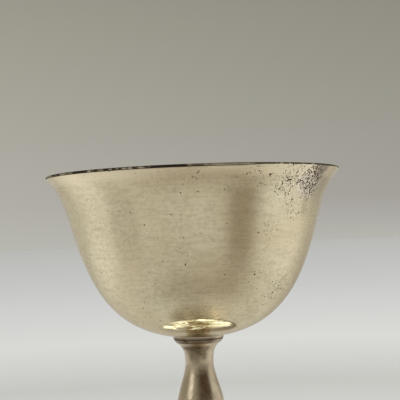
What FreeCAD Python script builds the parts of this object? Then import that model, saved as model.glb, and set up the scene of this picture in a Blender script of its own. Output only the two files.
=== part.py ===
import FreeCAD, Part
import math
import os

# A small communion chalice of plated brass: a spun bell-shaped bowl on a turned baluster stem
# and a spun foot, drawn together by one rod, from the boss under the bowl to a nut in the foot.
# Millimetres, +Z up. The origin is the centre of the ring that the foot stands on.

# ---- driving dimensions -------------------------------------------------------------------------
overall_height = 114.0

# bowl: spun sheet, measured on its outside
rim_radius = 32.6
bowl_depth = 36.75
bowl_wall = 0.7
lip_overhang = 5.35         # how far the lip flares past the side of the bell
lip_drop = 11.6             # how far below the edge the flare runs into the side
lip_angle = 46.4            # degrees from upright, at the edge
side_angle = 15.9           # degrees from upright, where the flare runs into the side
lip_lead = 3.8              # lengths over which the outline keeps each direction
side_lead_up = 5.2
side_lead_down = 14.0
bottom_lead = 18.25

# boss brazed under the bowl, threaded for the rod
boss_radius = 5.65
boss_web = 0.1              # metal between the bottom of the bowl and the washer
boss_spigot_radius = 2.8
boss_spigot_length = 3.75
boss_thread_roof = 0.6

# washer between the boss and the stem
washer_radius = 5.3
washer_thickness = 0.2

# baluster stem; places along it are shares of its length, counted down from its head
head_radius = 5.55
neck_radius = 3.14
swell_radius = 5.4
ankle_radius = 3.2
heel_radius = 4.3
neck_place = 0.12
swell_place = 0.385
ankle_place = 0.82
heel_edge = 0.5
head_angle = 25.0           # degrees from upright, at the edge of the head
head_lead = 1.7             # length over which the outline keeps that direction
heel_angle = 45.0
heel_lead = 1.3
neck_lead_up = 0.81         # how far it keeps upright, as a share of the height to the next mark
neck_lead_down = 0.31
swell_lead_up = 0.34
swell_lead_down = 0.36
ankle_lead_up = 0.42
ankle_lead_down = 0.50

# knop: a fat ring between two fillets
knop_radius = 7.3
knop_height = 6.9
knop_fillet_radius = 5.0
knop_fillet_height = 0.6
knop_recess_depth = 0.5
knop_spigot_length = 1.0

# ferrule soldered into the neck of the foot
ferrule_flange_radius = 5.3
ferrule_flange_height = 0.7
ferrule_length = 6.0
ferrule_wall = 0.76         # round the spigot of the knop

# foot: spun sheet, with a moulded wire soldered round its edge
foot_radius = 31.0
foot_height = 29.0
foot_wall = 0.7
foot_neck_radius = 4.4
foot_neck_length = 2.0
foot_step_height = 1.2
foot_step_round = 0.35
foot_ovolo_width = 6.2
foot_ovolo_height = 6.2
foot_lift = 0.4             # the sheet stops short of the table; the wire stands on it
wire_width = 2.65
wire_height = 2.75
wire_band_height = 1.15
wire_band_step = 0.5
wire_corner = 0.25

# rod, and what draws it tight under the foot
rod_radius = 1.75
rod_tail = 1.5              # thread that stands out below the nut
rod_chamfer = 0.3
clamp_drop = 15.0           # top of the foot to top of the clamp plate
clamp_thickness = 2.0
lock_width = 1.5
lock_thickness = 0.8
lock_split = 0.7
nut_across_flats = 6.5
nut_height = 2.8
nut_chamfer = 0.35

# clearances, each on the radius or along the axis
spigot_clearance = 0.05
rod_clearance = 0.2
thread_clearance = 0.04
solder_gap = 0.04
end_clearance = 0.12

# ---- heights and bores that follow --------------------------------------------------------------
# the rounded edge of the lip stands a little above the corner that its outside is drawn from
lip_corner_rise = bowl_wall / 2 * (1 + math.sin(math.radians(lip_angle)))
lip_corner_height = overall_height - lip_corner_rise
bowl_bottom = overall_height - bowl_depth
boss_underside = bowl_bottom - boss_web
stem_top = boss_underside - washer_thickness
ferrule_top = foot_height + ferrule_flange_height
knop_top = ferrule_top + knop_height
stem_bottom = knop_top - knop_recess_depth
clamp_top = foot_height - clamp_drop
clamp_bottom = clamp_top - clamp_thickness
lock_bottom = clamp_bottom - lock_thickness
nut_bottom = lock_bottom - nut_height
thread_top = bowl_bottom - boss_thread_roof
rod_top = thread_top - end_clearance
rod_bottom = nut_bottom - rod_tail
rod_bore = rod_radius + rod_clearance
thread_bore = rod_radius + thread_clearance
ferrule_plug_radius = foot_neck_radius - foot_wall - solder_gap
knop_spigot_radius = ferrule_plug_radius - ferrule_wall
wire_inner_radius = foot_radius - wire_width
skirt_radius = wire_inner_radius - solder_gap

AXIS = FreeCAD.Vector(0, 0, 1)
ORIGIN = FreeCAD.Vector(0, 0, 0)
QUARTER = 0.5523            # lead of a Bezier quarter of an ellipse, as a share of each half axis


# ---- drawing on the half plane right of the axis ------------------------------------------------
def at(radius, height):
    return FreeCAD.Vector(radius, 0, height)


def heading(angle):
    """Unit step down and towards the axis, at an angle in degrees from upright."""
    return at(-math.sin(math.radians(angle)), -math.cos(math.radians(angle)))


def bezier(*poles):
    curve = Part.BezierCurve()
    curve.setPoles(list(poles))
    return curve


def lines(*points):
    return [Part.LineSegment(a, b).toShape() for a, b in zip(points, points[1:])]


def arc(start, middle, end):
    return Part.Arc(start, middle, end).toShape()


def right_of(direction):
    """Unit step to the right of a direction."""
    return at(direction.z, -direction.x) / direction.Length


def beside(curve, distance):
    """The Bezier curve at a distance to the right of the way this one runs: a sheet's far side.

    Its ends move square to the outline and its leads change with its chord, which keeps the
    sheet even to a few hundredths.
    """
    start, first_pole, last_pole, end = curve.getPoles()
    first_lead, last_lead = first_pole - start, end - last_pole
    new_start = start + right_of(first_lead) * distance
    new_end = end + right_of(last_lead) * distance
    change = (new_end - new_start).Length / (end - start).Length
    return bezier(new_start, new_start + first_lead * change, new_end - last_lead * change, new_end)


def turned(edges):
    """Solid of revolution from the edges of a closed section."""
    section = Part.Face(Part.Wire(Part.__sortEdges__(edges)))
    return section.revolve(ORIGIN, AXIS, 360)


def ring(inner, outer, bottom, top):
    corners = [at(inner, bottom), at(outer, bottom), at(outer, top), at(inner, top)]
    return turned(lines(*corners, corners[0]))


# ---- pieces, from the top down ------------------------------------------------------------------
def bowl_outside():
    """Lip and bell, from the edge down to the middle of the bottom."""
    corner = at(rim_radius, lip_corner_height)
    side = at(rim_radius - lip_overhang, lip_corner_height - lip_drop)
    lip = bezier(corner, corner + heading(lip_angle) * lip_lead,
                 side - heading(side_angle) * side_lead_up, side)
    bell = bezier(side, side + heading(side_angle) * side_lead_down,
                  at(bottom_lead, bowl_bottom), at(0, bowl_bottom))
    return lip, bell


def bowl():
    lip, bell = bowl_outside()
    inner_lip, inner_bell = beside(lip, bowl_wall), beside(bell, bowl_wall)
    outer_corner, inner_corner = lip.StartPoint, inner_lip.StartPoint
    crest = (outer_corner + inner_corner) / 2 - heading(lip_angle) * (bowl_wall / 2)
    edges = [lip.toShape(), bell.toShape()]
    edges += lines(at(0, bowl_bottom), at(0, bowl_bottom + bowl_wall))
    edges += [inner_bell.toShape(), inner_lip.toShape(), arc(inner_corner, crest, outer_corner)]
    return turned(edges)


def bowl_boss():
    """Disc dished to the bottom of the bowl, with a spigot that centres the stem."""
    bell = bowl_outside()[1]
    side = bell.StartPoint
    bell_blank = turned([bell.toShape()] + lines(at(0, bowl_bottom), at(0, side.z), side))
    spigot_end = boss_underside - boss_spigot_length
    disc = ring(0, boss_radius, boss_underside, side.z)
    spigot = ring(0, boss_spigot_radius, spigot_end, boss_underside)
    thread = ring(0, thread_bore, spigot_end, thread_top)
    return disc.fuse(spigot).cut(bell_blank).cut(thread).removeSplitter()


def seat_washer():
    return ring(boss_spigot_radius + spigot_clearance, washer_radius, stem_top, boss_underside)


def baluster_stem():
    length = stem_top - stem_bottom
    head = at(head_radius, stem_top)
    neck = at(neck_radius, stem_top - neck_place * length)
    swell = at(swell_radius, stem_top - swell_place * length)
    ankle = at(ankle_radius, stem_top - ankle_place * length)
    heel = at(heel_radius, stem_bottom + heel_edge)
    cove = bezier(head, head + heading(head_angle) * head_lead,
                  neck + AXIS * neck_lead_up * (head.z - neck.z), neck)
    shoulder = bezier(neck, neck - AXIS * neck_lead_down * (neck.z - swell.z),
                      swell + AXIS * swell_lead_up * (neck.z - swell.z), swell)
    taper = bezier(swell, swell - AXIS * swell_lead_down * (swell.z - ankle.z),
                   ankle + AXIS * ankle_lead_up * (swell.z - ankle.z), ankle)
    flare = bezier(ankle, ankle - AXIS * ankle_lead_down * (ankle.z - heel.z),
                   heel - heading(-heel_angle) * heel_lead, heel)
    seat_radius = boss_spigot_radius + spigot_clearance
    seat_floor = boss_underside - boss_spigot_length - end_clearance
    edges = [curve.toShape() for curve in (cove, shoulder, taper, flare)]
    edges += lines(heel, at(heel_radius, stem_bottom), at(rod_bore, stem_bottom),
                   at(rod_bore, seat_floor), at(seat_radius, seat_floor),
                   at(seat_radius, stem_top), head)
    return turned(edges)


def knop():
    """Recessed on top for the heel of the stem, with a spigot below into the ferrule."""
    recess_radius = heel_radius + spigot_clearance
    low = ferrule_top + knop_fillet_height
    high = knop_top - knop_fillet_height
    edges = lines(at(knop_fillet_radius, high), at(knop_fillet_radius, knop_top),
                  at(recess_radius, knop_top), at(recess_radius, stem_bottom),
                  at(rod_bore, stem_bottom), at(rod_bore, ferrule_top - knop_spigot_length),
                  at(knop_spigot_radius, ferrule_top - knop_spigot_length),
                  at(knop_spigot_radius, ferrule_top), at(knop_fillet_radius, ferrule_top),
                  at(knop_fillet_radius, low))
    edges.append(arc(at(knop_fillet_radius, low), at(knop_radius, (low + high) / 2),
                     at(knop_fillet_radius, high)))
    return turned(edges)


def foot_ferrule():
    seat_radius = knop_spigot_radius + spigot_clearance
    seat_floor = ferrule_top - knop_spigot_length - end_clearance
    low = foot_height - ferrule_length
    edges = lines(at(rod_bore, low), at(ferrule_plug_radius, low), at(ferrule_plug_radius, foot_height),
                  at(ferrule_flange_radius, foot_height), at(ferrule_flange_radius, ferrule_top),
                  at(seat_radius, ferrule_top), at(seat_radius, seat_floor),
                  at(rod_bore, seat_floor), at(rod_bore, low))
    return turned(edges)


def foot_curves():
    """Outside of the cove and of the ovolo below its step, both run outwards and down."""
    cove_top = foot_height - foot_neck_length
    ovolo_top = wire_height + foot_ovolo_height
    ovolo_start = skirt_radius - foot_ovolo_width
    cove_end = ovolo_start - foot_wall
    cove_width = cove_end - foot_neck_radius
    cove_bottom = ovolo_top + foot_step_height
    cove = bezier(at(foot_neck_radius, cove_top),
                  at(foot_neck_radius, cove_top - QUARTER * (cove_top - cove_bottom)),
                  at(cove_end - QUARTER * cove_width, cove_bottom), at(cove_end, cove_bottom))
    ovolo = bezier(at(ovolo_start, ovolo_top),
                   at(ovolo_start + QUARTER * foot_ovolo_width, ovolo_top),
                   at(skirt_radius, wire_height + QUARTER * foot_ovolo_height),
                   at(skirt_radius, wire_height))
    return cove, ovolo


def foot_inside(depth):
    """Underside of the foot, a depth behind its outside, from the neck to the bottom edge."""
    cove, ovolo = foot_curves()
    inner_cove, inner_ovolo = beside(cove, depth), beside(ovolo, depth)
    cove_end, ovolo_start = inner_cove.EndPoint, inner_ovolo.StartPoint
    # the riser of the step stands one wall in from the outside one
    edges = lines(at(foot_neck_radius - depth, foot_height), inner_cove.StartPoint)
    edges.append(inner_cove.toShape())
    edges += lines(cove_end, at(cove_end.x, ovolo_start.z), ovolo_start)
    edges.append(inner_ovolo.toShape())
    edges += lines(inner_ovolo.EndPoint, at(skirt_radius - depth, foot_lift))
    return edges


def foot():
    cove, ovolo = foot_curves()
    cove_end, ovolo_start = cove.EndPoint, ovolo.StartPoint
    start = at(ovolo_start.x - foot_step_round, cove_end.z)
    finish = at(ovolo_start.x, cove_end.z - foot_step_round)
    bulge = foot_step_round * (1 - math.sqrt(0.5))
    edges = lines(at(foot_neck_radius, foot_height), cove.StartPoint) + [cove.toShape()]
    edges += lines(cove_end, start)
    edges.append(arc(start, at(ovolo_start.x - bulge, cove_end.z - bulge), finish))
    edges += lines(finish, ovolo_start) + [ovolo.toShape()]
    edges += lines(ovolo.EndPoint, at(skirt_radius, foot_lift),
                   at(skirt_radius - foot_wall, foot_lift))
    edges += foot_inside(foot_wall)
    edges += lines(at(foot_neck_radius - foot_wall, foot_height), at(foot_neck_radius, foot_height))
    return turned(edges)


def foot_wire():
    """Flat band below, rounded bead above, soldered round the skirt of the foot."""
    bead_radius = foot_radius - wire_band_step
    bead_middle = (wire_inner_radius + bead_radius) / 2
    edges = lines(at(wire_inner_radius, wire_height), at(wire_inner_radius, 0),
                  at(foot_radius - wire_corner, 0), at(foot_radius, wire_corner),
                  at(foot_radius, wire_band_height), at(bead_radius, wire_band_height))
    edges.append(bezier(at(bead_radius, wire_band_height), at(bead_radius, wire_height),
                        at(bead_middle, wire_height), at(wire_inner_radius, wire_height)).toShape())
    return turned(edges)


def clamp_plate():
    """Turned plate whose edge beds on the underside of the cove."""
    hollow = foot_inside(foot_wall + solder_gap)
    top, end = hollow[0].Vertexes[0].Point, hollow[-1].Vertexes[-1].Point
    cavity = turned(hollow + lines(top, at(0, top.z), at(0, end.z), end))
    plate = ring(rod_bore, foot_radius, clamp_bottom, clamp_top)
    return plate.common(cavity)


def lock_washer():
    washer = ring(rod_bore, rod_bore + lock_width, lock_bottom, clamp_bottom)
    split = Part.makeBox(2 * (rod_bore + lock_width), lock_split, lock_thickness,
                         FreeCAD.Vector(0, -lock_split / 2, lock_bottom))
    return washer.cut(split)


def nut():
    across_corners = nut_across_flats / math.cos(math.radians(30))
    corners = []
    for side in range(7):
        turn = math.radians(60 * side)
        corners.append(FreeCAD.Vector(across_corners / 2 * math.cos(turn),
                                      across_corners / 2 * math.sin(turn), nut_bottom))
    prism = Part.Face(Part.makePolygon(corners)).extrude(AXIS * nut_height)
    wide, narrow = across_corners / 2, across_corners / 2 - nut_chamfer
    rise = nut_chamfer * math.tan(math.radians(30))
    blank = turned(lines(at(0, nut_bottom), at(narrow, nut_bottom), at(wide, nut_bottom + rise),
                         at(wide, lock_bottom - rise), at(narrow, lock_bottom),
                         at(0, lock_bottom), at(0, nut_bottom)))
    return prism.common(blank).cut(ring(0, thread_bore, nut_bottom, lock_bottom))


def tie_rod():
    tip = rod_radius - rod_chamfer
    return turned(lines(at(0, rod_bottom), at(tip, rod_bottom), at(rod_radius, rod_bottom + rod_chamfer),
                        at(rod_radius, rod_top - rod_chamfer), at(tip, rod_top),
                        at(0, rod_top), at(0, rod_bottom)))


PIECES = (bowl, bowl_boss, seat_washer, baluster_stem, knop, foot_ferrule, foot, foot_wire,
          clamp_plate, lock_washer, nut, tie_rod)

os.makedirs("parts", exist_ok=True)
for piece in PIECES:
    shape = piece()
    shape.exportStep("parts/" + piece.__name__ + ".step")
    print(piece.__name__, "solids", len(shape.Solids), "valid", shape.isValid(),
          "volume %.1f" % shape.Volume)
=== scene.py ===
import math

import bmesh
import bpy
from mathutils import Matrix, Vector


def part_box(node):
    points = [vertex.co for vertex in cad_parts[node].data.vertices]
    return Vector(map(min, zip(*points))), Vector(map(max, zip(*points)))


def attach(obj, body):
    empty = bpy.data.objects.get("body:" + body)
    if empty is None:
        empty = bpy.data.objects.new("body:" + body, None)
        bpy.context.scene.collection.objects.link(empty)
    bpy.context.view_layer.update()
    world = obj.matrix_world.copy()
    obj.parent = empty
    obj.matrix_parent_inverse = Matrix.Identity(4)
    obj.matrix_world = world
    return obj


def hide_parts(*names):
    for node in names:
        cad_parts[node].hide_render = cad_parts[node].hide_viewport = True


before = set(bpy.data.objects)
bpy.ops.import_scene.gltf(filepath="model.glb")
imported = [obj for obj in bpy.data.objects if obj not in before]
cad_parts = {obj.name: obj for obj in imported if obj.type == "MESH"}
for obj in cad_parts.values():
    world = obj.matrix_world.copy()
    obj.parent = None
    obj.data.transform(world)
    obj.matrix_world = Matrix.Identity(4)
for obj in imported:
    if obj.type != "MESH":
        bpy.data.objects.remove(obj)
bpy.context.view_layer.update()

# ---- Foot ---------------------------------------------------------------------------------------
# The foot is spun from sheet brass on a lathe: a short neck, a deep cove, a small step and a round
# moulding down to the skirt. It is silver plated and polished bright, and dull on the underside.
MM = 0.001
QUARTER = 0.5523    # lead of a cubic curve that follows a quarter of a circle of radius 1
foot_wall = 0.7
foot_neck_radius = 4.4
foot_neck_length = 2.0
step_height = 1.2
step_round = 0.35
crisp_corner = 0.1
ovolo_width = 6.2
ovolo_height = 6.2
foot_softening = 0.08


def extent(name):
    """Outer radius, bottom and top of a CAD node, in millimetres."""
    low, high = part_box(name)
    return high.x / MM, low.z / MM, high.z / MM


def bend(start, first, last, end, count=24):
    """Points along a cubic curve of radius and height, its end left out."""
    points = []
    for step in range(count):
        t = step / count
        shares = ((1 - t) ** 3, 3 * t * (1 - t) ** 2, 3 * t * t * (1 - t), t ** 3)
        poles = (start, first, last, end)
        points.append(tuple(sum(s * p[i] for s, p in zip(shares, poles)) for i in (0, 1)))
    return points


def behind(points, wall):
    """The far side of a sheet whose near side runs along the points, to the right of their way."""
    far = []
    for i, (radius, height) in enumerate(points):
        before, after = points[max(i - 1, 0)], points[min(i + 1, len(points) - 1)]
        along = Vector((after[0] - before[0], after[1] - before[1])).normalized()
        far.append((max(radius + along.y * wall, 0), height - along.x * wall))
    return far


def softened(outline, edge):
    """The closed outline with each corner sharper than 155 degrees cut by a narrow flat."""
    cut = []
    for i, here in enumerate(outline):
        before, after = outline[i - 1], outline[(i + 1) % len(outline)]
        back, on = Vector(before) - Vector(here), Vector(after) - Vector(here)
        if here[0] < 1e-6 or back.length < 2 * edge or on.length < 2 * edge:
            cut.append(here)
        elif math.degrees(back.angle(on)) > 155:
            cut.append(here)
        else:
            cut.append(tuple(Vector(here) + back.normalized() * edge))
            cut.append(tuple(Vector(here) + on.normalized() * edge))
    return cut


def new_object(name, shape):
    """The finished shape as an object of the scene."""
    mesh = bpy.data.meshes.new(name)
    shape.to_mesh(mesh)
    shape.free()
    made = bpy.data.objects.new(name, mesh)
    bpy.context.scene.collection.objects.link(made)
    return made


def lathe(name, outline, turns=256):
    """A piece turned round the axis from a closed outline of radius and height in millimetres."""
    shape = bmesh.new()
    rings = []
    for radius, height in outline:
        count = 1 if radius < 1e-6 else turns
        angles = [math.tau * step / turns for step in range(count)]
        rings.append([shape.verts.new((radius * MM * math.cos(a), radius * MM * math.sin(a),
                                       height * MM)) for a in angles])
    for ring, following in zip(rings, rings[1:] + rings[:1]):
        if len(ring) == len(following) == 1:
            continue
        for step in range(turns):
            on = (step + 1) % turns
            corners = [ring[step % len(ring)], ring[on % len(ring)],
                       following[on % len(following)], following[step % len(following)]]
            shape.faces.new(dict.fromkeys(corners))
    bmesh.ops.recalc_face_normals(shape, faces=shape.faces)
    for face in shape.faces:
        face.smooth = True
    for edge in shape.edges:
        edge.smooth = edge.calc_face_angle(0) < math.radians(30)
    return new_object(name, shape)


skirt_radius, foot_lift, foot_height = extent("foot")
wire_radius, wire_bottom, wire_height = extent("foot_wire")
cove_top = foot_height - foot_neck_length
ovolo_top = wire_height + ovolo_height
ovolo_start = skirt_radius - ovolo_width
cove_end = ovolo_start - foot_wall
cove_bottom = ovolo_top + step_height
cove_width = cove_end - foot_neck_radius
step_bulge = step_round * (1 - math.sqrt(0.5))

outside = [(foot_neck_radius, foot_height)]
outside += bend((foot_neck_radius, cove_top),
                (foot_neck_radius, cove_top - QUARTER * (cove_top - cove_bottom)),
                (cove_end - QUARTER * cove_width, cove_bottom),
                (cove_end, cove_bottom), count=40)
outside += [(cove_end, cove_bottom), (ovolo_start - step_round, cove_bottom),
            (ovolo_start - step_bulge, cove_bottom - step_bulge),
            (ovolo_start, cove_bottom - step_round), (ovolo_start, ovolo_top + crisp_corner)]
outside += bend((ovolo_start, ovolo_top), (ovolo_start + QUARTER * ovolo_width, ovolo_top),
                (skirt_radius, wire_height + QUARTER * ovolo_height), (skirt_radius, wire_height))
outside += [(skirt_radius, wire_height), (skirt_radius, foot_lift)]
foot = lathe("foot_sheet", softened(outside + behind(outside, foot_wall)[::-1], foot_softening))


def node(tree, kind, **values):
    """A shader node, with values for its sockets or its settings by name."""
    made = tree.nodes.new("ShaderNode" + kind)
    for name, value in values.items():
        if name in made.inputs:
            made.inputs[name].default_value = value
        else:
            setattr(made, name, value)
    return made


def feed(tree, socket, value):
    """Gives a socket its number, or links it to another node's output."""
    if isinstance(value, (int, float)):
        socket.default_value = value
    else:
        tree.links.new(value, socket)


def maths(tree, operation, first, second=0.0, third=0.0, clamp=False):
    """The result of one sum on numbers or outputs."""
    made = node(tree, "Math", operation=operation, use_clamp=clamp)
    for socket, value in zip(made.inputs, (first, second, third)):
        feed(tree, socket, value)
    return made.outputs[0]


def times(tree, first, second):
    """The product of two numbers or outputs."""
    return maths(tree, "MULTIPLY", first, second)


def added(tree, base, value, factor):
    """The base, and a factor times the value on top."""
    return maths(tree, "MULTIPLY_ADD", value, factor, base)


def without(tree, share):
    """What a share leaves of 1."""
    return maths(tree, "SUBTRACT", 1.0, share)


def step_up(tree, value, low, high, start=0.0, end=1.0, curve="SMOOTHSTEP"):
    """The start below low, the end above high, and a soft or a straight run between."""
    ramp = node(tree, "MapRange", interpolation_type=curve)
    for label, number in zip(("Value", "From Min", "From Max", "To Min", "To Max"),
                             (value, low, high, start, end)):
        feed(tree, ramp.inputs[label], number)
    return ramp.outputs[0]


def group(name, inputs, output):
    """An empty node group with number inputs and one number output, and a place for each."""
    tree = bpy.data.node_groups.new(name, "ShaderNodeTree")
    for label, value in inputs.items():
        socket = tree.interface.new_socket(label, in_out="INPUT", socket_type="NodeSocketFloat")
        socket.default_value = value
    tree.interface.new_socket(output, in_out="OUTPUT", socket_type="NodeSocketFloat")
    return tree, tree.nodes.new("NodeGroupInput").outputs, tree.nodes.new("NodeGroupOutput").inputs


def effect(tree, which, **values):
    """Places a group in a material, with its own values, and gives the group's output."""
    made = node(tree, "Group", node_tree=which)
    for name, value in values.items():
        feed(tree, made.inputs[name], value)
    return made.outputs[0]


def on_surface(tree, kind="Object"):
    """The point, or with Normal the way the surface faces there, as one output."""
    return node(tree, "TexCoord").outputs[kind]


def split(tree, vector):
    """The x, y and z of a vector."""
    parts = node(tree, "SeparateXYZ")
    tree.links.new(vector, parts.inputs[0])
    return parts.outputs


def around_axis(tree):
    """Where a point lies: the two parts of its direction from the axis, its radius, its height."""
    x, y, z = split(tree, on_surface(tree))
    squares = maths(tree, "ADD", times(tree, x, x), times(tree, y, y))
    radius = maths(tree, "SQRT", maths(tree, "ADD", squares, 1e-9))
    return maths(tree, "DIVIDE", x, radius), maths(tree, "DIVIDE", y, radius), radius, z


# fine lines that a spinning tool and the polishing mop leave round a turned surface
spun_lines, given, result = group("spun lines", {"Fineness": 6000, "Wander": 2.5}, "Lines")
east, north, radius, height = around_axis(spun_lines)
course = node(spun_lines, "CombineXYZ")
for socket, part, scale in zip(course.inputs, (east, north, height),
                               ("Wander", "Wander", "Fineness")):
    feed(spun_lines, socket, times(spun_lines, part, given[scale]))
grain = node(spun_lines, "TexNoise", noise_dimensions="4D", Scale=1, Detail=3, Roughness=0.6)
feed(spun_lines, grain.inputs["Vector"], course.outputs[0])
feed(spun_lines, grain.inputs["W"], times(spun_lines, radius, given["Fineness"]))
feed(spun_lines, result["Lines"], grain.outputs["Fac"])

# cloudy marks of handling and of old polish, softly edged
clouds, given, result = group("clouds", {"Scale": 60, "Low": 0.4, "High": 0.7}, "Mask")
grain = node(clouds, "TexNoise", Detail=5, Roughness=0.55, Distortion=0.4)
feed(clouds, grain.inputs["Vector"], on_surface(clouds))
feed(clouds, grain.inputs["Scale"], given["Scale"])
cloud = step_up(clouds, grain.outputs["Fac"], given["Low"], given["High"])
feed(clouds, result["Mask"], cloud)

# pin-head specks of tarnish where the plate has worn through; Share is how many cells hold one
specks, given, result = group("tarnish specks", {"Scale": 1500, "Share": 0.1, "Size": 0.3}, "Mask")
cells = node(specks, "TexVoronoi", feature="F1")
feed(specks, cells.inputs["Vector"], on_surface(specks))
feed(specks, cells.inputs["Scale"], given["Scale"])
chance = node(specks, "SeparateColor")
feed(specks, chance.inputs[0], cells.outputs["Color"])
chosen = maths(specks, "LESS_THAN", chance.outputs[0], given["Share"])
width = times(specks, given["Size"], added(specks, 0.35, chance.outputs[1], 0.9))
speck = step_up(specks, cells.outputs["Distance"], times(specks, width, 0.45), width,
                start=1.0, end=0.0)
feed(specks, result["Mask"], times(specks, speck, chosen))


def coated(name):
    """A new material, with its node tree and its own shader."""
    material = bpy.data.materials.new(name)
    material.use_nodes = True
    tree = material.node_tree
    return material, tree, tree.nodes["Principled BSDF"]


def blended(tree, share, first, second):
    """Colour that goes from first to second as share goes from 0 to 1."""
    made = node(tree, "Mix", data_type="RGBA")
    sockets = [s for s in made.inputs if s.type == "RGBA"]
    for socket, value in zip(sockets, (first, second)):
        if isinstance(value, tuple):
            socket.default_value = (*value, 1)
        else:
            tree.links.new(value, socket)
    tree.links.new(share, made.inputs[0])
    return [s for s in made.outputs if s.type == "RGBA"][0]


def relief(tree, shader, height, depth):
    """Height in shares of a depth in metres, as the shader's bump."""
    made = node(tree, "Bump", Strength=1.0, Distance=depth)
    feed(tree, made.inputs["Height"], height)
    tree.links.new(made.outputs[0], shader.inputs["Normal"])


def ridden(piece, material, replaced):
    """Gives a finished piece its material and its place on the cup, and hides the CAD node it
    stands for.
    """
    piece.data.materials.append(material)
    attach(piece, "root")
    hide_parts(replaced)


BRIGHT_PLATE = (0.84, 0.78, 0.65)
BRIGHT_FILM = (0.76, 0.68, 0.53)
BRIGHT_SMEAR = (0.55, 0.46, 0.34)
UNDERSIDE = (0.52, 0.42, 0.27)
UNDERSIDE_SMEAR = (0.34, 0.25, 0.15)
TARNISH = (0.10, 0.075, 0.05)
bright_line_depth = 0.002 * MM

bright, tree, shader = coated("bright_plate")
lines = effect(tree, spun_lines, Fineness=9000, Wander=2.0)
film = effect(tree, clouds, Scale=90, Low=0.42, High=0.72)
spots = effect(tree, specks, Scale=1100, Share=0.03, Size=0.3)
smears = effect(tree, clouds, Scale=420, Low=0.46, High=0.70)
plate = blended(tree, film, BRIGHT_PLATE, BRIGHT_FILM)
plate = blended(tree, times(tree, smears, 0.25), plate, BRIGHT_SMEAR)
plate = blended(tree, spots, plate, TARNISH)

# the underside is dull, all but what faces down close to the axis, under the knop and ferrule
facing_down = times(tree, split(tree, on_surface(tree, "Normal"))[2], -1.0)
outside_neck = step_up(tree, around_axis(tree)[2], 7.6 * MM, 8.2 * MM)
below = times(tree, step_up(tree, facing_down, 0.1, 0.3), outside_neck)
dull = blended(tree, smears, UNDERSIDE, UNDERSIDE_SMEAR)
feed(tree, shader.inputs["Base Color"], blended(tree, below, plate, dull))
rough = added(tree, 0.10, film, 0.08)
rough = added(tree, rough, smears, 0.06)
rough = added(tree, rough, below, 0.22)
rough = added(tree, rough, spots, 0.3)
feed(tree, shader.inputs["Roughness"], rough)
shader.inputs["Metallic"].default_value = 1
relief(tree, shader, lines, bright_line_depth)
ridden(foot, bright, "foot")

# ---- Foot wire ----------------------------------------------------------------------------------
# A drawn wire, flat band below and round bead above, is soldered to the skirt to stiffen it. The
# cup stands on this wire, so its plate has gone dull underneath.
wire_width = 2.65
band_height = 1.15
band_step = 0.5
band_bevel = 0.1
chamfer = 0.25
chamfer_waist = 0.07
wire_inner = wire_radius - wire_width
bead_radius = wire_radius - band_step
bead_middle = (wire_inner + bead_radius) / 2
wire_outline = [(wire_inner, wire_height), (wire_inner, wire_bottom),
                (wire_radius - chamfer, wire_bottom),
                (wire_radius - chamfer_waist, wire_bottom + chamfer_waist),
                (wire_radius, wire_bottom + chamfer), (wire_radius, band_height - band_bevel),
                (wire_radius - band_bevel, band_height), (bead_radius, band_height)]
wire_outline += bend((bead_radius, band_height), (bead_radius, wire_height),
                     (bead_middle, wire_height), (wire_inner, wire_height))[1:]
wire = lathe("foot_wire_ring", wire_outline)
ridden(wire, bright, "foot_wire")

# ---- Ferrule ------------------------------------------------------------------------------------
# A turned brass ferrule is soldered into the neck of the foot. Its flange shows as a thin ring
# under the knop, and its plug fills the neck.
rod_bore = 1.95
plug_radius = 3.66
ferrule_seat_radius = 2.95
ferrule_seat_depth = 1.12
ferrule_softening = 0.1
flange_radius, ferrule_low, ferrule_top = extent("foot_ferrule")
ferrule_seat_floor = ferrule_top - ferrule_seat_depth
ferrule_outline = [(rod_bore, ferrule_low), (plug_radius, ferrule_low),
                   (plug_radius, foot_height), (flange_radius, foot_height),
                   (flange_radius, ferrule_top), (ferrule_seat_radius, ferrule_top),
                   (ferrule_seat_radius, ferrule_seat_floor), (rod_bore, ferrule_seat_floor)]
ferrule = lathe("ferrule", softened(ferrule_outline, ferrule_softening), turns=160)
ridden(ferrule, bright, "foot_ferrule")

# ---- Knop ---------------------------------------------------------------------------------------
# The knop is a fat ring turned from bar between two small fillets, for the fingers to hold. A
# recess on top takes the heel of the stem, and a spigot below sits in the ferrule.
fillet_radius = 5.0
fillet_height = 0.6
recess_radius = 4.35
recess_depth = 0.5
spigot_radius = 2.9
ring_points = 40
knop_softening = 0.08
knop_radius, knop_low, knop_top = extent("knop")
ring_low = ferrule_top + fillet_height
ring_high = knop_top - fillet_height
ring_middle = (ring_low + ring_high) / 2
half_height = (ring_high - ring_low) / 2
ring_width = knop_radius - fillet_radius
knop_round = (half_height ** 2 + ring_width ** 2) / 2 / ring_width
spread = math.asin(half_height / knop_round)
knop_outline = [(rod_bore, knop_low), (spigot_radius, knop_low), (spigot_radius, ferrule_top),
                (fillet_radius, ferrule_top), (fillet_radius, ring_low)]
for step in range(1, ring_points):
    turn = spread * (2 * step / ring_points - 1)
    knop_outline.append((knop_radius - knop_round * (1 - math.cos(turn)),
                         ring_middle + knop_round * math.sin(turn)))
knop_outline += [(fillet_radius, ring_high), (fillet_radius, knop_top), (recess_radius, knop_top),
                 (recess_radius, knop_top - recess_depth), (rod_bore, knop_top - recess_depth)]
knop = lathe("knop_ring", softened(knop_outline, knop_softening), turns=192)
ridden(knop, bright, "knop")

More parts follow.
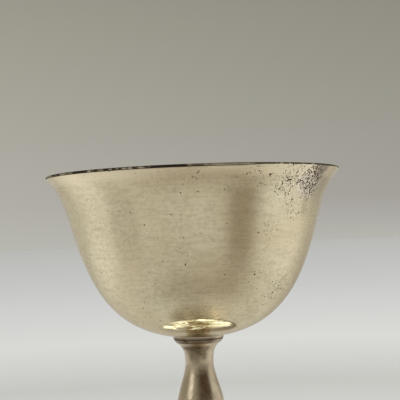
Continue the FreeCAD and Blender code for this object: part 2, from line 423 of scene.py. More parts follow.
# ---- Baluster stem ------------------------------------------------------------------------------
# The stem is turned from solid bar and bored through for the rod. It flares to a small disc under
# the bowl, narrows to a neck, swells like a baluster and narrows again before the knop.
head_radius = 5.55
head_lead = 1.7
head_angle = math.radians(25)
neck_radius = 3.14
swell_radius = 5.4
ankle_radius = 3.2
heel_radius = 4.3
heel_edge = 0.5
heel_lead = 1.3
stem_seat_radius = 2.85
stem_seat_depth = 3.67
stem_softening = 0.06
neck_share, swell_share, ankle_share = 0.12, 0.385, 0.82    # of the length, down from the top
neck_up, neck_down = 0.81, 0.31    # how straight each curve leaves its ends: shares of its height
swell_up, swell_down = 0.34, 0.36
ankle_up, ankle_down = 0.42, 0.50
stem_bottom, stem_top = extent("baluster_stem")[1:]
stem_length = stem_top - stem_bottom
neck_height = stem_top - neck_share * stem_length
swell_height = stem_top - swell_share * stem_length
ankle_height = stem_top - ankle_share * stem_length
heel_height = stem_bottom + heel_edge
heel_lean = heel_lead * math.sqrt(0.5)
stem_seat_floor = stem_top - stem_seat_depth
stem_outline = bend((head_radius, stem_top),
                    (head_radius - head_lead * math.sin(head_angle),
                     stem_top - head_lead * math.cos(head_angle)),
                    (neck_radius, neck_height + neck_up * (stem_top - neck_height)),
                    (neck_radius, neck_height))
stem_outline += bend((neck_radius, neck_height),
                     (neck_radius, neck_height - neck_down * (neck_height - swell_height)),
                     (swell_radius, swell_height + swell_up * (neck_height - swell_height)),
                     (swell_radius, swell_height))
stem_outline += bend((swell_radius, swell_height),
                     (swell_radius, swell_height - swell_down * (swell_height - ankle_height)),
                     (ankle_radius, ankle_height + ankle_up * (swell_height - ankle_height)),
                     (ankle_radius, ankle_height))
stem_outline += bend((ankle_radius, ankle_height),
                     (ankle_radius, ankle_height - ankle_down * (ankle_height - heel_height)),
                     (heel_radius - heel_lean, heel_height + heel_lean),
                     (heel_radius, heel_height))
stem_outline += [(heel_radius, heel_height), (heel_radius, stem_bottom),
                 (rod_bore, stem_bottom), (rod_bore, stem_seat_floor),
                 (stem_seat_radius, stem_seat_floor), (stem_seat_radius, stem_top)]
stem = lathe("stem", softened(stem_outline, stem_softening), turns=192)


def near(tree, centre, reach, softness):
    """1 within a reach of a centre in millimetres, 0 past it, soft between."""
    gap = node(tree, "VectorMath", operation="DISTANCE")
    tree.links.new(on_surface(tree), gap.inputs[0])
    gap.inputs[1].default_value = [part * MM for part in centre]
    return step_up(tree, gap.outputs["Value"], (reach - softness) * MM, (reach + softness) * MM,
                   start=1.0, end=0.0)


def level(tree, height, low, high):
    """0 below a height, 1 above another, in millimetres above the top of the stem."""
    return step_up(tree, height, (stem_top + low) * MM, (stem_top + high) * MM)


RUBBED_PLATE = (0.74, 0.64, 0.47)
RUBBED_FILM = (0.62, 0.52, 0.37)
RUBBED_SMEAR = (0.44, 0.34, 0.23)
PAINTED_NECK_REFLECTION = (0.46, 0.37, 0.25)
PAINTED_DARK_REFLECTION = (0.12, 0.085, 0.035)
SEAM_TARNISH_AND_SHADE = (0.11, 0.075, 0.04)
front_reflection_place = (0.0, -3.5, 74.8)
dark_reflection_place = (-0.9, -3.3, 74.0)
stem_relief_depth = 0.003 * MM

rubbed, tree, shader = coated("rubbed_plate")
lines = effect(tree, spun_lines, Fineness=5200, Wander=2.4)
film = effect(tree, clouds, Scale=120, Low=0.36, High=0.66)
smears = effect(tree, clouds, Scale=420, Low=0.46, High=0.70)
spots = effect(tree, specks, Scale=1500, Share=0.02, Size=0.3)
plate = blended(tree, film, RUBBED_PLATE, RUBBED_FILM)
plate = blended(tree, times(tree, smears, 0.35), plate, RUBBED_SMEAR)
# painted reflection: a duller patch on the front of the neck stands for the dark things reflected
# there
painted_front_reflection = near(tree, front_reflection_place, 3.8, 2.0)
plate = blended(tree, times(tree, painted_front_reflection, 0.15), plate, PAINTED_NECK_REFLECTION)
# painted reflection: a dark brown blotch on the front left of the neck's hollow stands for a dark
# thing reflected there
painted_dark_reflection = times(tree, near(tree, dark_reflection_place, 2.2, 1.4), added(tree, 0.75, smears, 0.3))
plate = blended(tree, painted_dark_reflection, plate, PAINTED_DARK_REFLECTION)

# tarnish on both sides of the seam, with painted shade, as it is weaker on the right where the
# light falls; and again, under a ring left clear, a painted dark reflection in the hollow of the
# neck, on the front and left
east, north, radius, height = around_axis(tree)
seam_tarnish_and_shade = times(tree, level(tree, height, -0.95, -0.70),
                   without(tree, level(tree, height, 0.45, 0.75)))
seam_tarnish_and_shade = times(tree, seam_tarnish_and_shade, added(tree, 1.0, step_up(tree, east, 0.45, 0.75), -0.55))
painted_hollow_reflection = times(tree, level(tree, height, -2.6, -2.1),
                    times(tree, 0.75, without(tree, level(tree, height, -1.55, -1.30))))
painted_hollow_reflection = times(tree, painted_hollow_reflection, without(tree, step_up(tree, east, 0.50, 0.72)))
stain_and_shade = times(tree, maths(tree, "MAXIMUM", seam_tarnish_and_shade, painted_hollow_reflection),
              added(tree, 0.74, smears, 0.25))
plate = blended(tree, stain_and_shade, plate, SEAM_TARNISH_AND_SHADE)
feed(tree, shader.inputs["Base Color"], blended(tree, spots, plate, TARNISH))
rough = added(tree, 0.20, film, 0.08)
rough = added(tree, rough, smears, 0.10)
rough = added(tree, rough, spots, 0.3)
feed(tree, shader.inputs["Roughness"], rough)
shader.inputs["Metallic"].default_value = 1
dented = effect(tree, clouds, Scale=210, Low=0.2, High=0.8)
relief(tree, shader, added(tree, lines, dented, 14.0), stem_relief_depth)
ridden(stem, rubbed, "baluster_stem")

# ---- Seat washer --------------------------------------------------------------------------------
# A thin fibre washer lies between the boss and the stem, so that the joint draws up without
# marking the plate. Only its dark edge shows.
FIBRE = (0.05, 0.035, 0.025)
FIBRE_PALE = (0.12, 0.09, 0.06)
fibre_depth = 0.02 * MM
washer_bore = 2.85
washer_softening = 0.05
fibre, tree, shader = coated("oiled_fibre")
weave = effect(tree, clouds, Scale=2500, Low=0.35, High=0.65)
feed(tree, shader.inputs["Base Color"], blended(tree, weave, FIBRE, FIBRE_PALE))
feed(tree, shader.inputs["Roughness"], added(tree, 0.6, weave, 0.2))
relief(tree, shader, weave, fibre_depth)
washer_radius, washer_low, washer_top = extent("seat_washer")
washer_outline = [(washer_bore, washer_low), (washer_radius, washer_low),
                  (washer_radius, washer_top), (washer_bore, washer_top)]
washer = lathe("fibre_washer", softened(washer_outline, washer_softening), turns=160)
ridden(washer, fibre, "seat_washer")

# ---- Bowl ---------------------------------------------------------------------------------------
# The bowl is spun from sheet brass over a bell-shaped former, with a flared lip and a rounded
# edge. Its plate is old: satin from polishing, yellowed, and pitted with tarnish near the lip.
rim_radius = 32.6
lip_overhang = 5.35
lip_drop = 11.6
lip_angle = math.radians(46.4)
lip_lead = 3.8
side_angle = math.radians(15.9)
side_lead_up = 5.2
side_lead_down = 14.0
bottom_lead = 18.25
bowl_wall = 0.7
lip_points = 28
side_points = 72
edge_points = 10
bowl_bottom, overall_height = extent("bowl")[1:]
corner_height = overall_height - bowl_wall / 2 * (1 + math.sin(lip_angle))
side_radius, side_height = rim_radius - lip_overhang, corner_height - lip_drop

bell = bend((rim_radius, corner_height),
            (rim_radius - lip_lead * math.sin(lip_angle),
             corner_height - lip_lead * math.cos(lip_angle)),
            (side_radius + side_lead_up * math.sin(side_angle),
             side_height + side_lead_up * math.cos(side_angle)),
            (side_radius, side_height), lip_points)
bell += bend((side_radius, side_height),
             (side_radius - side_lead_down * math.sin(side_angle),
              side_height - side_lead_down * math.cos(side_angle)),
             (bottom_lead, bowl_bottom), (0, bowl_bottom), side_points)
bell.append((0, bowl_bottom))
inside = behind(bell, bowl_wall)
inside[-1] = (0, bowl_bottom + bowl_wall)
edge_middle = Vector(((bell[0][0] + inside[0][0]) / 2, (bell[0][1] + inside[0][1]) / 2))
edge_start = Vector(inside[0]) - edge_middle
rounded_edge = []
for step in range(1, edge_points):
    turn = -math.pi * step / edge_points
    rounded_edge.append(tuple(edge_middle + Matrix.Rotation(turn, 2) @ edge_start))
bowl = lathe("bowl_bell", bell + inside[::-1] + rounded_edge, turns=384)

# short crooked marks where the plate is etched; Density 1 covers most of it, 0.3 hardly any
etching, given, result = group("etching", {"Scale": 2400, "Density": 0.5}, "Mask")
grain = node(etching, "TexNoise", Detail=1, Roughness=0.5, Distortion=1.2)
feed(etching, grain.inputs["Vector"], on_surface(etching))
feed(etching, grain.inputs["Scale"], given["Scale"])
limit = added(etching, 0.80, given["Density"], -0.35)
bite = step_up(etching, grain.outputs["Fac"], limit, maths(etching, "ADD", limit, 0.05))
feed(etching, result["Mask"], bite)

SATIN_PLATE = (0.85, 0.765, 0.545)
SATIN_GRAIN = (0.58, 0.51, 0.355)
YELLOWED = (0.72, 0.61, 0.40)
PALE_CROWD = (0.86, 0.78, 0.66)
GREY_FILM = (0.46, 0.41, 0.32)
OLIVE_SMEAR = (0.42, 0.37, 0.23)
PAINTED_LIP_REFLECTION = (0.98, 0.86, 0.63)
EDGE_SMEAR = (0.20, 0.165, 0.12)
PAINTED_GLINT = (1.0, 0.95, 0.85)
PIT = (0.065, 0.04, 0.02)
PAINTED_FOOT_REFLECTION = (1.0, 0.92, 0.60)
PAINTED_REFLECTION_STREAK = (0.48, 0.35, 0.15)
PAINTED_REFLECTION_OUTLINE = (0.25, 0.17, 0.07)
DARK_EDGE_LEFT = (0.055, 0.042, 0.030)
DARK_EDGE_RIGHT = (0.11, 0.09, 0.065)
RUBBED_EDGE = (0.22, 0.18, 0.14)
satin_depth = 0.0012 * MM

satin, tree, shader = coated("satin_plate")
east, north, radius, height = around_axis(tree)
lines = effect(tree, spun_lines, Fineness=4200, Wander=3.0)
broad_lines = effect(tree, spun_lines, Fineness=1100, Wander=1.6)
scratches = effect(tree, spun_lines, Fineness=2000, Wander=7.0)
film = effect(tree, clouds, Scale=55, Low=0.38, High=0.70)
patchy = effect(tree, clouds, Scale=260, Low=0.42, High=0.66)

# marks: etched in one crowded patch under the lip, thinner beside it and in a few groups below.
# Each group is a centre, a reach and how much denser it is; each lone pit a centre and a reach
mark_groups = (((21.0, -18.0, 103.7), 3.4, 0.24), ((15.5, -22.0, 100.8), 2.4, 0.32),
               ((17.5, -13.0, 88.2), 3.8, 0.35), ((0.0, -31.2, 111.6), 1.9, 0.30),
               ((12.0, -28.6, 111.4), 3.6, 0.24), ((12.0, -20.2, 91.6), 1.4, 0.20),
               ((25.5, -14.0, 106.5), 2.2, 0.28))
lone_pits = (((12.0, -20.3, 91.5), 0.20), ((11.5, -20.8, 92.1), 0.15), ((5.8, -23.0, 91.8), 0.13),
             ((15.6, -26.9, 111.6), 0.28), ((16.1, -26.6, 111.9), 0.20),
             ((13.3, -28.7, 112.3), 0.17), ((1.0, -29.5, 108.6), 0.14), ((1.0, -31.5, 112.2), 0.16),
             ((26.2, -16.9, 111.7), 0.25), ((19.3, -23.9, 111.0), 0.20),
             ((18.2, -23.9, 109.8), 0.20), ((17.5, -23.8, 108.8), 0.18))
crowd = near(tree, (24.9, -17.9, 111.0), 4.5, 1.7)
beside_crowd = near(tree, (20.5, -22.8, 110.6), 5.0, 4.0)
density = maths(tree, "MAXIMUM", times(tree, crowd, 0.66), times(tree, beside_crowd, 0.50))
density = maths(tree, "ADD", density, 0.14)
share = added(tree, 0.006, crowd, 0.30)
share = added(tree, share, beside_crowd, 0.10)
for centre, reach, denser in mark_groups:
    here = near(tree, centre, reach, 1.6)
    share = added(tree, share, here, 0.04)
    density = added(tree, density, here, denser)
etched = effect(tree, etching, Scale=2250, Density=density)
pits = effect(tree, specks, Scale=2400, Share=share, Size=0.46)
large_pits = effect(tree, specks, Scale=1250, Share=times(tree, share, 0.4), Size=0.30)
spots = maths(tree, "MAXIMUM", pits, large_pits)
for centre, reach in lone_pits:
    spots = maths(tree, "MAXIMUM", spots, near(tree, centre, reach, reach * 0.4))
spots = maths(tree, "MAXIMUM", spots, etched)
# painted glints: bright specks among the etched marks, in the crowded patch and beside it
painted_glints = effect(tree, etching, Scale=2900,
                Density=times(tree, maths(tree, "MAXIMUM", crowd, beside_crowd), 0.55))

# the edge of the lip is tarnished dark; along one stretch it is rubbed bright between two lines
rubbed_thin = effect(tree, clouds, Scale=300, Low=0.48, High=0.60)
worn_stretch = near(tree, (8.2, -31.5, 113.7), 4.0, 1.4)
to_right = step_up(tree, east, 0.28, 0.46)
from_top = maths(tree, "SUBTRACT", overall_height * MM, height)
band_depth = added(tree, 0.60 * MM, to_right, -0.20 * MM)
past_band = maths(tree, "SUBTRACT", from_top, band_depth)
edge_band = without(tree, step_up(tree, past_band, -0.05 * MM, 0.07 * MM))
crest = times(tree, step_up(tree, from_top, 0.16 * MM, 0.20 * MM),
              without(tree, step_up(tree, from_top, 0.40 * MM, 0.44 * MM)))
wear = times(tree, crest, maths(tree, "MAXIMUM", worn_stretch, times(tree, rubbed_thin, 0.6)))
edge_tarnish = times(tree, edge_band, without(tree, wear))
# painted reflection: the top of the lip is coloured a brighter yellow, for the light its flare
# catches
painted_lip_reflection = without(tree, step_up(tree, from_top, 1.6 * MM, 3.2 * MM))

# beside the stem, a painted reflection of the foot: a bright golden oval with streaks and a dark
# border
oval_half_width, oval_half_height, oval_slope = 8.3 * MM, 1.23 * MM, 0.168
oval_x, oval_y, oval_z = -0.1 * MM, -15.0 * MM, 81.04 * MM
inner_width, inner_height, inner_shift = 0.90, 0.76, 0.16


def from_centre(across, up):
    """Distance from the centre of the oval, 1 on its edge."""
    return maths(tree, "SQRT", maths(tree, "ADD", times(tree, across, across), times(tree, up, up)))


x, y, z = split(tree, on_surface(tree))
faces_down = maths(tree, "LESS_THAN", split(tree, on_surface(tree, "Normal"))[2], 0.0)
in_front = times(tree, step_up(tree, times(tree, y, -1.0), 2 * MM, 3 * MM), faces_down)
across = maths(tree, "DIVIDE", maths(tree, "SUBTRACT", x, oval_x), oval_half_width)
lifted = added(tree, maths(tree, "SUBTRACT", z, oval_z),
               maths(tree, "SUBTRACT", y, oval_y), oval_slope)
up = maths(tree, "DIVIDE", lifted, oval_half_height)
from_inner = from_centre(maths(tree, "DIVIDE", across, inner_width),
                         added(tree, -inner_shift / inner_height, up, 1 / inner_height))
inner_oval = times(tree, in_front, without(tree, step_up(tree, from_inner, 0.90, 1.04)))
whole_oval = times(tree, in_front,
                   without(tree, step_up(tree, from_centre(across, up), 0.97, 1.03)))
border = maths(tree, "SUBTRACT", whole_oval, inner_oval)
stretched = node(tree, "VectorMath", operation="MULTIPLY")
tree.links.new(on_surface(tree), stretched.inputs[0])
stretched.inputs[1].default_value = (260, 420, 1500)
ripples = node(tree, "TexNoise", Scale=1, Detail=2, Roughness=0.5, Distortion=1.0)
feed(tree, ripples.inputs["Vector"], stretched.outputs[0])
ripple = ripples.outputs["Fac"]

# colour: scratched and yellowed plate, then its films and smears, then the oval, pits and edge
mottle = effect(tree, clouds, Scale=1300, Low=0.30, High=0.70)
scratched = maths(tree, "MULTIPLY_ADD", scratches, 1.9, added(tree, -1.055, mottle, 0.65),
                  clamp=True)
plate = blended(tree, scratched, SATIN_PLATE, SATIN_GRAIN)
plate = blended(tree, times(tree, film, 0.5), plate, YELLOWED)
plate = blended(tree, times(tree, patchy, 0.12), plate, YELLOWED)
plate = blended(tree, times(tree, crowd, 0.7), plate, PALE_CROWD)
grey_film = near(tree, (28.5, -13.5, 110.0), 5.5, 4.5)
plate = blended(tree, times(tree, grey_film, 0.55), plate, GREY_FILM)
for centre, reach in (((23.5, -16.6, 106.8), 1.0), ((23.3, -16.0, 105.2), 1.1),
                      ((23.1, -15.7, 103.9), 0.8)):
    plate = blended(tree, times(tree, near(tree, centre, reach, 1.0), 0.5), plate, OLIVE_SMEAR)
plate = blended(tree, times(tree, painted_lip_reflection, 0.70), plate, PAINTED_LIP_REFLECTION)
edge_smear = near(tree, (27.5, -17.0, 113.0), 2.4, 1.6)
plate = blended(tree, times(tree, edge_smear, 0.75), plate, EDGE_SMEAR)
plate = blended(tree, painted_glints, plate, PAINTED_GLINT)
streaks = times(tree, step_up(tree, ripple, 0.52, 0.62), 0.7)
# the painted reflection of the foot fills the oval, with painted streaks; its outline is darker
# towards the right
plate = blended(tree, inner_oval, plate, blended(tree, streaks, PAINTED_FOOT_REFLECTION, PAINTED_REFLECTION_STREAK))
border_share = maths(tree, "MULTIPLY", border, added(tree, 0.58, across, 0.38), clamp=True)
plate = blended(tree, border_share, plate, PAINTED_REFLECTION_OUTLINE)
plate = blended(tree, spots, plate, PIT)
dark_edge = blended(tree, to_right, DARK_EDGE_LEFT, DARK_EDGE_RIGHT)
dark_edge = blended(tree, rubbed_thin, dark_edge, RUBBED_EDGE)
feed(tree, shader.inputs["Base Color"], blended(tree, edge_tarnish, plate, dark_edge))

rough = added(tree, 0.19, lines, 0.10)
rough = added(tree, rough, film, 0.04)
rough = added(tree, rough, maths(tree, "MAXIMUM", spots, edge_tarnish), 0.35)
rough = times(tree, rough, added(tree, 1.0, whole_oval, -0.6))
feed(tree, shader.inputs["Roughness"], rough)

# where its ripples dip, the oval is creamy and less of a mirror
creamy = without(tree, step_up(tree, ripple, 0.36, 0.60))
creamy = times(tree, inner_oval, times(tree, creamy, creamy))
feed(tree, shader.inputs["Metallic"], added(tree, 1.0, creamy, -0.7))
shader.inputs["Specular Tint"].default_value = (0.82, 0.79, 0.74, 1)
shader.inputs["Anisotropic"].default_value = 0.6
shader.inputs["Anisotropic Rotation"].default_value = 0.25
round_axis = node(tree, "Tangent", direction_type="RADIAL", axis="Z")
tree.links.new(round_axis.outputs[0], shader.inputs["Tangent"])

# relief: fine and broad lines of the spinning, ripples in the oval, and pits below the surface
fine = added(tree, lines, broad_lines, 2.0)
fine = added(tree, fine, times(tree, ripple, inner_oval), 300.0)
fine = added(tree, fine, spots, -16.0)
relief(tree, shader, fine, satin_depth)
ridden(bowl, satin, "bowl")

# ---- Boss ---------------------------------------------------------------------------------------
# A turned boss is brazed under the bowl. It is dished to the bell, and shows as a fine band above
# the washer, darkened along the joint by tarnish and by painted shade; its threaded spigot takes
# the rod.
thread_bore = 1.79
boss_spigot_radius = 2.8
braze_gap = 0.001
boss_radius, boss_low = extent("bowl_boss")[:2]
boss_edge = [point for point in bell[lip_points:] if point[0] < boss_radius]
boss_outline = [(boss_radius, washer_top), (boss_radius, boss_edge[0][1])]
boss_outline += [(r, z - braze_gap) for r, z in boss_edge if r > thread_bore]
boss_outline += [(thread_bore, boss_edge[-1][1] - braze_gap), (thread_bore, boss_low),
                 (boss_spigot_radius, boss_low), (boss_spigot_radius, washer_top)]
boss = lathe("boss", boss_outline, turns=160)
ridden(boss, rubbed, "bowl_boss")

# ---- Rod, plate, lock washer and nut ------------------------------------------------------------
# A steel rod screws into the boss and runs down through stem, knop and ferrule. Under the foot a
# brass plate, a split lock washer and a brass nut draw the whole cup tight.
STEEL = (0.50, 0.49, 0.47)
STAINED_STEEL = (0.28, 0.24, 0.20)
BRASS = (0.72, 0.50, 0.20)
STAINED_BRASS = (0.40, 0.25, 0.10)
BRASS_SPOT = (0.09, 0.06, 0.03)
steel_depth = 0.005 * MM
brass_depth = 0.008 * MM

steel, tree, shader = coated("bright_steel")
lines = effect(tree, spun_lines, Fineness=5000, Wander=4.0)
stain_and_shade = effect(tree, clouds, Scale=500, Low=0.45, High=0.7)
feed(tree, shader.inputs["Base Color"], blended(tree, stain_and_shade, STEEL, STAINED_STEEL))
feed(tree, shader.inputs["Roughness"], added(tree, 0.3, stain_and_shade, 0.25))
shader.inputs["Metallic"].default_value = 1
relief(tree, shader, lines, steel_depth)

brass, tree, shader = coated("turned_brass")
lines = effect(tree, spun_lines, Fineness=3500, Wander=1.0)
stain_and_shade = effect(tree, clouds, Scale=220, Low=0.38, High=0.68)
spots = effect(tree, specks, Scale=900, Share=0.05, Size=0.3)
dull = blended(tree, stain_and_shade, BRASS, STAINED_BRASS)
feed(tree, shader.inputs["Base Color"], blended(tree, spots, dull, BRASS_SPOT))
feed(tree, shader.inputs["Roughness"], added(tree, 0.22, stain_and_shade, 0.25))
shader.inputs["Metallic"].default_value = 1
relief(tree, shader, lines, brass_depth)

# the rod is threaded right-handed at both ends, 0.6 mm to the turn, and plain between
rod_chamfer = 0.3
thread_rise = 0.6
thread_depth = 0.36
groove_floor, groove_slope = 1.1, 2.6
lower_thread_length = 7.0
upper_thread_length = 5.0
sides = 48
rod_radius, rod_bottom, rod_top = extent("tie_rod")
lower_thread = rod_bottom + lower_thread_length
upper_thread = rod_top - upper_thread_length
heights = [rod_bottom]
while heights[-1] < rod_top - 0.001:
    plain = lower_thread + thread_rise < heights[-1] < upper_thread - 3 * thread_rise
    heights.append(min(heights[-1] + thread_rise * (2 if plain else 0.1), rod_top))
shape = bmesh.new()
rings = []
for here in heights:
    from_end = min(here - rod_bottom, rod_top - here)
    surface = rod_radius - max(rod_chamfer - from_end, 0)
    below_upper = here < upper_thread - 2 * thread_rise
    past_thread = max(here - lower_thread if below_upper else upper_thread - here, 0)
    cut = thread_depth * max(1 - past_thread / thread_rise, 0)
    ring = []
    for side in range(sides):
        turned = (here / thread_rise - side / sides) % 1
        groove = min(max(groove_floor - groove_slope * abs(turned - 0.5), 0), 1)
        out = min(surface, rod_radius - cut * groove) * MM
        angle = math.tau * side / sides
        ring.append(shape.verts.new((out * math.cos(angle), out * math.sin(angle), here * MM)))
    rings.append(ring)
for ring, following in zip(rings, rings[1:]):
    for side in range(sides):
        on = (side + 1) % sides
        shape.faces.new((ring[side], ring[on], following[on], following[side]))
shape.faces.new(rings[0][::-1])
shape.faces.new(rings[-1])
for face in shape.faces:
    face.smooth = len(face.verts) == 4
rod = new_object("threaded_rod", shape)
ridden(rod, steel, "tie_rod")

for name, material, slot in (("clamp_plate", brass, "brass"), ("nut", brass, "brass"),
                             ("lock_washer", steel, "steel")):
    cad_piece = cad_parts[name]
    cad_piece.data.materials.clear()
    cad_piece.data.materials.append(material)

# ---- Room ---------------------------------------------------------------------------------------
# A pale floor runs back to a pale grey wall, under a soft overhead light. Cards that show only in
# the metal stand for the rest of the room. The camera is just below the lip, close in front.
floor_radius = 12
floor_middle = (0.78, 0.775, 0.745)
# painted light and shade on the floor: its tones by how far from the cup they lie, in metres
painted_floor_shading = ((0.3, (0.76, 0.755, 0.725)), (0.5, (0.65, 0.65, 0.61)), (0.8, (0.86, 0.86, 0.82)),
               (1.4, (0.87, 0.87, 0.835)), (4.0, (0.785, 0.78, 0.745)), (12.0, (0.72, 0.71, 0.66)))


def disc(radius, segments, lift=0.0):
    """Draws a flat disc round the axis into a shape."""
    return lambda shape: bmesh.ops.create_circle(shape, cap_ends=True, segments=segments,
                                                 radius=radius,
                                                 matrix=Matrix.Translation((0, 0, lift)))


shape = bmesh.new()
disc(floor_radius, 128)(shape)
floor = new_object("floor", shape)
pale, tree, shader = coated("pale_floor")
distance = maths(tree, "MAXIMUM", around_axis(tree)[2], 0.01)
ramp = node(tree, "ValToRGB")
feed(tree, ramp.inputs[0], added(tree, 0.5, maths(tree, "LOGARITHM", distance, 10), 0.4))
ramp.color_ramp.elements.remove(ramp.color_ramp.elements[1])
for reach, tone in painted_floor_shading:
    ramp.color_ramp.elements.new(0.4 * math.log10(reach) + 0.5).color = (*tone, 1)
ramp.color_ramp.elements[0].color = (*floor_middle, 1)
feed(tree, shader.inputs["Base Color"], ramp.outputs[0])
shader.inputs["Roughness"].default_value = 0.8
shader.inputs["Specular IOR Level"].default_value = 0.1
floor.data.materials.append(pale)


def card(name, draw, colour):
    """A card that only shows in polished metal; it throws no shadow and the camera passes it."""
    shape = bmesh.new()
    draw(shape)
    made = new_object(name, shape)
    made.visible_camera = made.visible_diffuse = made.visible_shadow = False
    made.visible_transmission = made.visible_volume_scatter = False
    material, tree, shader = coated(name + "_card")
    shader.inputs["Base Color"].default_value = (*colour, 1)
    shader.inputs["Roughness"].default_value = 1
    shader.inputs["Specular IOR Level"].default_value = 0
    made.data.materials.append(material)
    return tree, shader


def bearing_of(tree, east, north):
    """The bearing of a point from the front, in radians, to the right."""
    return maths(tree, "ARCTAN2", east, times(tree, north, -1.0))


# how bright the floor looks in the metal, by its bearing from the front and its distance:
# the dark of whoever looks on, towards the right, and open daylight further round
SHADED_FLOOR = (0.16, 0.10, 0.03)
DAYLIGHT = (0.88, 0.93, 1.0)
sheen_radius = 1.6
sheen_lift = 0.0015
tree, shader = card("floor_sheen", disc(sheen_radius, 96, sheen_lift), SHADED_FLOOR)
east, north, radius, height = around_axis(tree)
turn = added(tree, 0.5, bearing_of(tree, east, north), 1 / math.tau)


def around(*tones):
    """Brightness by bearing in degrees, right of the front, from tones up to 2."""
    ring = node(tree, "ValToRGB")
    ring.color_ramp.elements.remove(ring.color_ramp.elements[1])
    for degrees, tone in tones:
        stop = ring.color_ramp.elements.new(degrees / 360 + 0.5)
        stop.color = (tone / 2, tone / 2, tone / 2, 1)
    ring.color_ramp.elements[0].color = ring.color_ramp.elements[-1].color
    feed(tree, ring.inputs[0], turn)
    return times(tree, ring.outputs[0], 2.0)


def further(nearer, beyond, low, high):
    """One brightness nearer than low millimetres, another beyond high."""
    share = step_up(tree, radius, low * MM, high * MM)
    return added(tree, nearer, maths(tree, "SUBTRACT", beyond, nearer), share)


# one ring of tones for each reach of floor, named by how far out it lies
wide = around((-140, 1.00), (-100, 1.05), (-50, 0.85), (0, 0.88), (40, 1.15), (80, 1.22),
              (100, 1.20), (116, 1.22), (128, 0.94), (140, 0.82), (150, 0.70), (180, 0.85))
far = around((-140, 1.00), (-110, 1.25), (-86, 1.10), (-76, 0.70), (-56, 0.62), (-48, 0.88),
             (-20, 0.82), (0, 0.88), (8, 0.90), (17, 0.82), (26, 0.77), (31, 0.43), (36, 0.20),
             (50, 0.18), (55, 0.37), (60, 0.76), (67, 1.00), (80, 1.10), (100, 1.18),
             (116, 1.22), (128, 0.94), (140, 0.82), (150, 0.70), (180, 0.85))
middle = around((-120, 0.95), (-70, 0.88), (-40, 0.68), (0, 0.66), (8, 0.67), (17, 0.64),
                (26, 0.61), (35, 0.48), (45, 0.45), (55, 0.50), (65, 0.68), (77, 0.84),
                (90, 0.93), (105, 0.94), (120, 0.93), (135, 0.97), (180, 0.88))
close = around((-110, 0.90), (-60, 0.72), (-30, 0.44), (0, 0.38), (30, 0.36), (42, 0.385),
               (52, 0.46), (64, 0.60), (80, 0.78), (110, 0.82), (130, 0.84), (180, 0.85))
under = around((-100, 1.00), (-50, 0.94), (0, 0.72), (12, 0.90), (60, 1.00), (90, 0.95),
               (110, 0.90), (130, 0.88), (180, 1.00))
glow = further(under, close, 41, 67)
glow = further(glow, middle, 77, 108)
glow = further(glow, far, 140, 187)
glow = further(glow, wide, 300, 500)
darker = maths(tree, "MAXIMUM", without(tree, glow), 0.0)
lighter = maths(tree, "MAXIMUM", maths(tree, "SUBTRACT", glow, 1.0), 0.0)
outline_fade = without(tree, step_up(tree, radius, 0.9, 1.5))
feed(tree, shader.inputs["Alpha"],
     maths(tree, "MULTIPLY", added(tree, darker, lighter, 2.0), outline_fade, clamp=True))
in_daylight = maths(tree, "GREATER_THAN", lighter, 0.0)
feed(tree, shader.inputs["Emission Color"],
     blended(tree, in_daylight, (0.0, 0.0, 0.0), DAYLIGHT))
shader.inputs["Emission Strength"].default_value = 1


def upright(degrees, distance, size):
    """Draws a square, facing the cup, at a bearing and a distance, that rises from the floor."""
    stand = (Matrix.Rotation(math.radians(degrees), 4, "Z")
             @ Matrix.Translation((0, -distance, size)) @ Matrix.Rotation(math.pi / 2, 4, "X"))
    return lambda shape: bmesh.ops.create_grid(shape, x_segments=1, y_segments=1, size=size,
                                               matrix=stand)


def soft_sides(tree, shader, degrees, inner, outer, low, high, lean=0.0):
    """Fades a card out from an inner to an outer half width in degrees, which may grow by a lean
    in radians with each metre of height, and at its foot and its top."""
    east, north, radius, height = around_axis(tree)
    off = maths(tree, "SUBTRACT", bearing_of(tree, east, north), math.radians(degrees))
    off = added(tree, maths(tree, "ABSOLUTE", off), height, -lean)
    inside = without(tree, step_up(tree, off, math.radians(inner), math.radians(outer)))
    inside = times(tree, inside, step_up(tree, height, low, high))
    top = without(tree, step_up(tree, height, 0.9, 1.5))
    feed(tree, shader.inputs["Alpha"], times(tree, inside, top))


# the dark of whoever looks on, and the light wall to the right of them
tree, shader = card("onlooker", upright(28, distance=1.0, size=1.5), (0.07, 0.04, 0.02))
soft_sides(tree, shader, 28, inner=12, outer=56, low=0.18, high=0.38, lean=0.2)
tree, shader = card("light_wall", upright(98, distance=0.9, size=0.8), (0.1, 0.1, 0.1))
soft_sides(tree, shader, 98, inner=16, outer=40, low=0.0, high=0.1)
shader.inputs["Emission Color"].default_value = (1.0, 0.98, 0.92, 1)
shader.inputs["Emission Strength"].default_value = 0.55

# the grey wall darkens upwards and a little to the right; off the metal it is an even soft light
wall_foot = (0.56, 0.55, 0.52)
wall_tones = ((0.195, (0.503, 0.497, 0.468)), (0.24, (0.474, 0.468, 0.429)),
              (0.33, (0.445, 0.429, 0.392)), (0.56, (0.392, 0.381, 0.323)),
              (0.78, (0.337, 0.319, 0.270)))
wall_top = (0.31, 0.29, 0.245)
soft_colour = (0.97, 0.98, 1.0)
soft_strength = 0.70

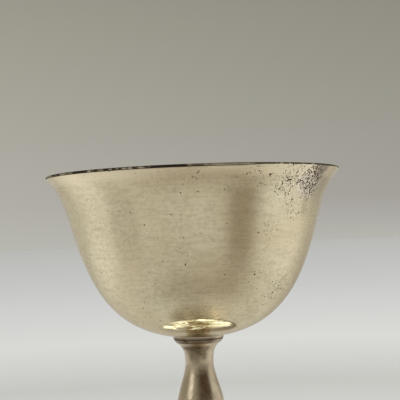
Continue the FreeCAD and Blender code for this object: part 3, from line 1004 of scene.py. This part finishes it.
world = bpy.data.worlds.new("room")
bpy.context.scene.world = world
world.use_nodes = True
tree = world.node_tree
tree.nodes.clear()
to_side, _, upward = split(tree, on_surface(tree, "Generated"))
wall = node(tree, "ValToRGB")
wall.color_ramp.elements[0].color = (*wall_foot, 1)
wall.color_ramp.elements[1].color = (*wall_top, 1)
for share, tone in wall_tones:
    wall.color_ramp.elements.new(share).color = (*tone, 1)
feed(tree, wall.inputs[0], step_up(tree, upward, -0.1, 0.3, curve="LINEAR"))
seen = node(tree, "Background")
feed(tree, seen.inputs["Color"], wall.outputs[0])
shaded = step_up(tree, to_side, -0.2, 0.2, start=1.0, end=0.82, curve="LINEAR")
shaded = maths(tree, "SUBTRACT", shaded, 1.0)
above = step_up(tree, upward, -0.015, 0.03, curve="LINEAR")
feed(tree, seen.inputs["Strength"], added(tree, 1.0, shaded, above))
soft = node(tree, "Background", Color=(*soft_colour, 1), Strength=soft_strength)
path = node(tree, "LightPath").outputs
direct = maths(tree, "MAXIMUM", path["Is Camera Ray"],
               maths(tree, "MAXIMUM", path["Is Glossy Ray"], path["Is Transmission Ray"]))
both = node(tree, "MixShader")
for socket, value in zip(both.inputs, (direct, soft.outputs[0], seen.outputs[0])):
    tree.links.new(value, socket)
output = node(tree, "OutputWorld")
tree.links.new(both.outputs[0], output.inputs[0])


def lamp(name, stand, size, power, colour, toward):
    """A square soft lamp at one place, aimed at another."""
    light = bpy.data.lights.new(name, "AREA")
    light.shape = "SQUARE"
    light.size, light.energy, light.color = size, power, colour
    made = bpy.data.objects.new(name, light)
    made.location = stand
    made.rotation_mode = "QUATERNION"
    made.rotation_quaternion = (Vector(toward) - Vector(stand)).to_track_quat("-Z", "Y")
    bpy.context.scene.collection.objects.link(made)
    return made


cup_middle = (0, 0, 0.06)
oval_middle = (0, -0.015, 0.081)
lamp("overhead", (0.25, 0.15, 1.1), size=0.9, power=3.6, colour=(1.0, 0.97, 0.93),
     toward=cup_middle)
lamp("side", (-0.9, -0.5, 0.6), size=0.5, power=1.0, colour=(0.95, 0.97, 1.0),
     toward=cup_middle)
glint = lamp("glint", (-0.03, -0.12, 0.012), size=0.03, power=0.022, colour=(1.0, 0.97, 0.86),
             toward=oval_middle)
glint.data.spread = math.radians(50)
glint.visible_camera = glint.visible_glossy = False

camera_stand = (0, -0.2447, 0.100)
pitch, yaw, roll = math.radians(1.84), math.radians(0.35), math.radians(2.15)
camera = bpy.data.objects.new("camera", bpy.data.cameras.new("camera"))
camera.data.sensor_width = 36
camera.data.lens = 98.1
camera.data.clip_start = 0.01
camera.data.clip_end = 50
camera.matrix_world = (Matrix.Translation(camera_stand) @ Matrix.Rotation(-yaw, 4, "Z")
                       @ Matrix.Rotation(math.pi / 2 + pitch, 4, "X")
                       @ Matrix.Rotation(-roll, 4, "Z"))
bpy.context.scene.collection.objects.link(camera)
bpy.context.scene.camera = camera
bpy.context.scene.view_settings.view_transform = "Standard"
